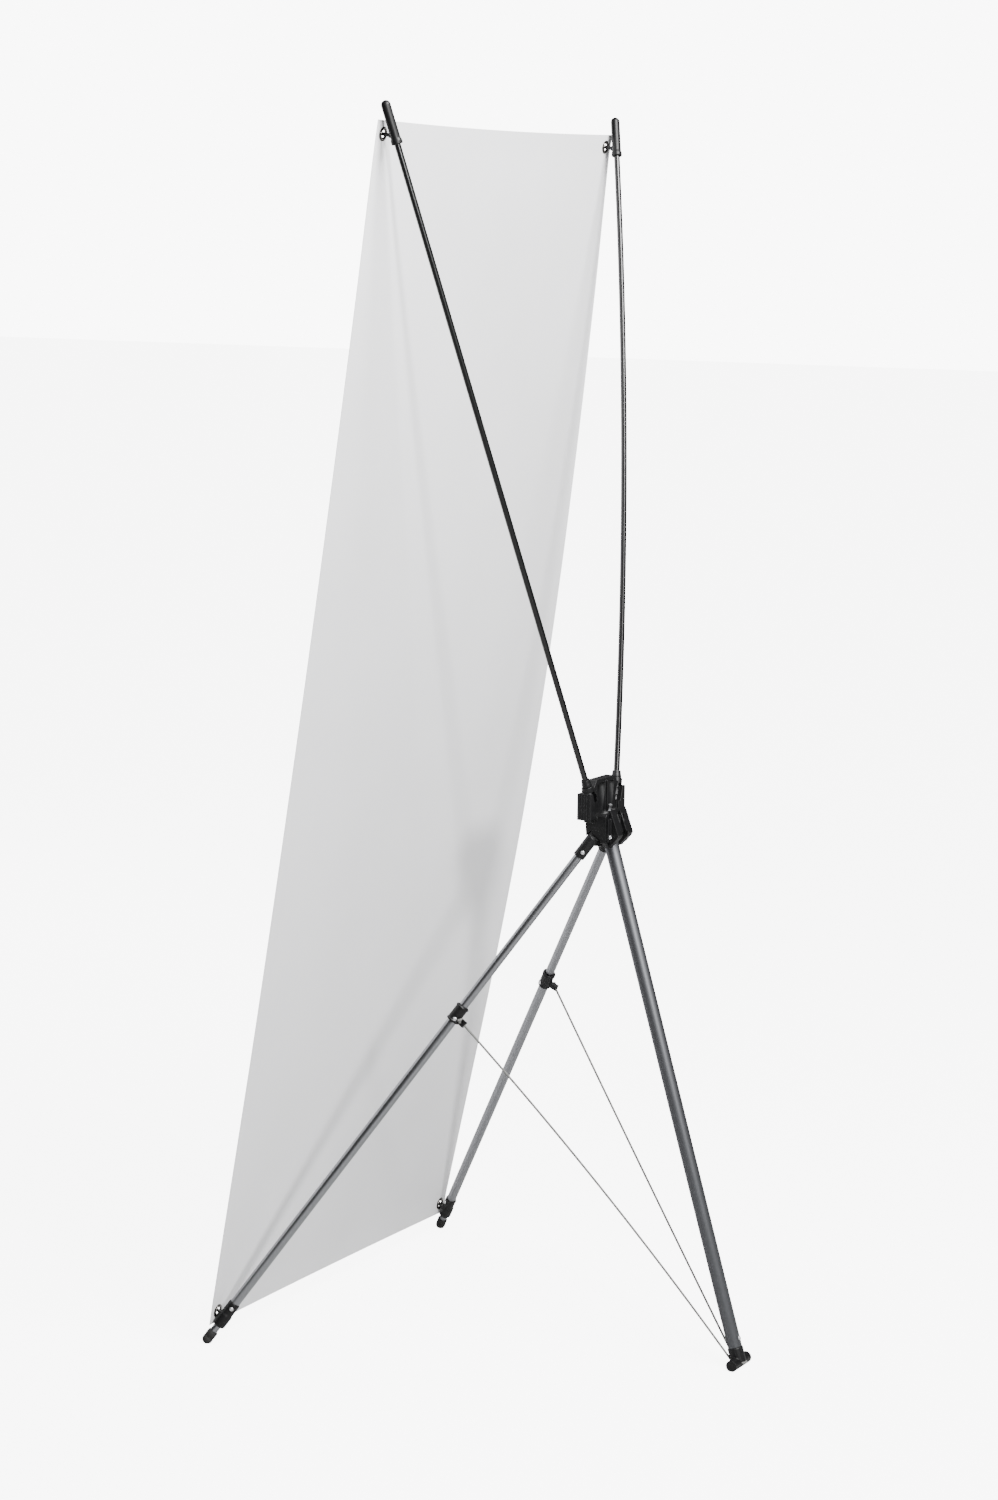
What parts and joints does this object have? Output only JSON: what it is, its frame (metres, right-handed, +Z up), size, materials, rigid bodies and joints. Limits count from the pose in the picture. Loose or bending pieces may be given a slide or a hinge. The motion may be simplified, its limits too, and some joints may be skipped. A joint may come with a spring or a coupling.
{
  "type": "three-legged banner stand",
  "caption": "Three-legged banner stand: a moulded hub with two flexible rods and folding legs holds a plain hanging sheet by its corner eyelets.",
  "frame": {"origin": "on the floor, at the middle of the stand's footprint", "axes": "+Z up, the sheet's printed side looks along -Y, the third leg stands along +Y, +X to the right as seen from behind the third leg's opposite side, the front"},
  "size_m": [0.612, 0.6612, 1.6252],
  "materials": {
    "banner_pvc": "smooth matt PVC sheet",
    "black_nylon": "fine spark texture",
    "fibreglass_rod": "glossy pultruded rod",
    "anodised_aluminium": "satin anodised",
    "rubber": "matt",
    "zinc_steel": "bright zinc",
    "braided_cord": "braided polyester"
  },
  "bodies": {
    "hub": {"hub_body": "black_nylon", "hub_rear_cover": "black_nylon", "latch_spring": "zinc_steel", "hinge_pin_right": "zinc_steel", "hinge_pin_left": "zinc_steel", "hinge_pin_rear": "zinc_steel", "cover_screw_right": "zinc_steel", "cover_screw_left": "zinc_steel", "rod_ferrule_right": "black_nylon", "rod_right": "fibreglass_rod", "top_hook_right": "black_nylon", "rod_ferrule_left": "black_nylon", "rod_left": "fibreglass_rod", "top_hook_left": "black_nylon"},
    "banner": {"banner_sheet": "banner_pvc", "eyelet_top_right": "zinc_steel", "eyelet_washer_top_right": "zinc_steel", "eyelet_top_left": "zinc_steel", "eyelet_washer_top_left": "zinc_steel", "eyelet_bottom_right": "zinc_steel", "eyelet_washer_bottom_right": "zinc_steel", "eyelet_bottom_left": "zinc_steel", "eyelet_washer_bottom_left": "zinc_steel"},
    "leg_right": {"leg_knuckle_right": "black_nylon", "knuckle_rivet_right": "zinc_steel", "upper_tube_right": "anodised_aluminium", "collar_right": "black_nylon", "collar_rivet_right": "zinc_steel", "lower_tube_right": "anodised_aluminium", "hook_clamp_right": "black_nylon", "clamp_rivet_right": "zinc_steel", "foot_stub_right": "anodised_aluminium", "rubber_foot_right": "rubber"},
    "leg_left": {"leg_knuckle_left": "black_nylon", "knuckle_rivet_left": "zinc_steel", "upper_tube_left": "anodised_aluminium", "collar_left": "black_nylon", "collar_rivet_left": "zinc_steel", "lower_tube_left": "anodised_aluminium", "hook_clamp_left": "black_nylon", "clamp_rivet_left": "zinc_steel", "foot_stub_left": "anodised_aluminium", "rubber_foot_left": "rubber"},
    "leg_rear": {"leg_knuckle_rear": "black_nylon", "knuckle_rivet_rear": "zinc_steel", "rear_leg_tube": "anodised_aluminium", "rear_foot": "black_nylon", "rear_foot_rivet": "zinc_steel", "cord_right": "braided_cord", "cord_left": "braided_cord", "cord_bridge": "braided_cord"}
  },
  "joints": [
    {"name": "banner_unhook", "type": "slide", "parent": "hub", "child": "banner", "axis": [0, -0.9873, 0.159], "range_m": [0, 0.15]},
    {"name": "leg_fold_right", "type": "hinge", "parent": "hub", "child": "leg_right", "pos_m": [0.02, 0.10764, 0.7006], "axis": [0.8392, 0.5439, 0], "range_deg": [0, 36.44], "deforming": ["cord_right", "cord_left", "cord_bridge"]},
    {"name": "leg_fold_left", "type": "hinge", "parent": "hub", "child": "leg_left", "pos_m": [-0.02, 0.10764, 0.7006], "axis": [0.8392, -0.5439, 0], "range_deg": [0, 36.44]},
    {"name": "leg_fold_rear", "type": "hinge", "parent": "hub", "child": "leg_rear", "pos_m": [0, 0.10814, 0.7031], "axis": [-1, 0, 0], "range_deg": [0, 14.83]}
  ],
  "couplings": [
    {"joint": "leg_fold_left", "follows": "leg_fold_right", "ratio": 1},
    {"joint": "leg_fold_rear", "follows": "leg_fold_right", "ratio": 0.4068}
  ]
}
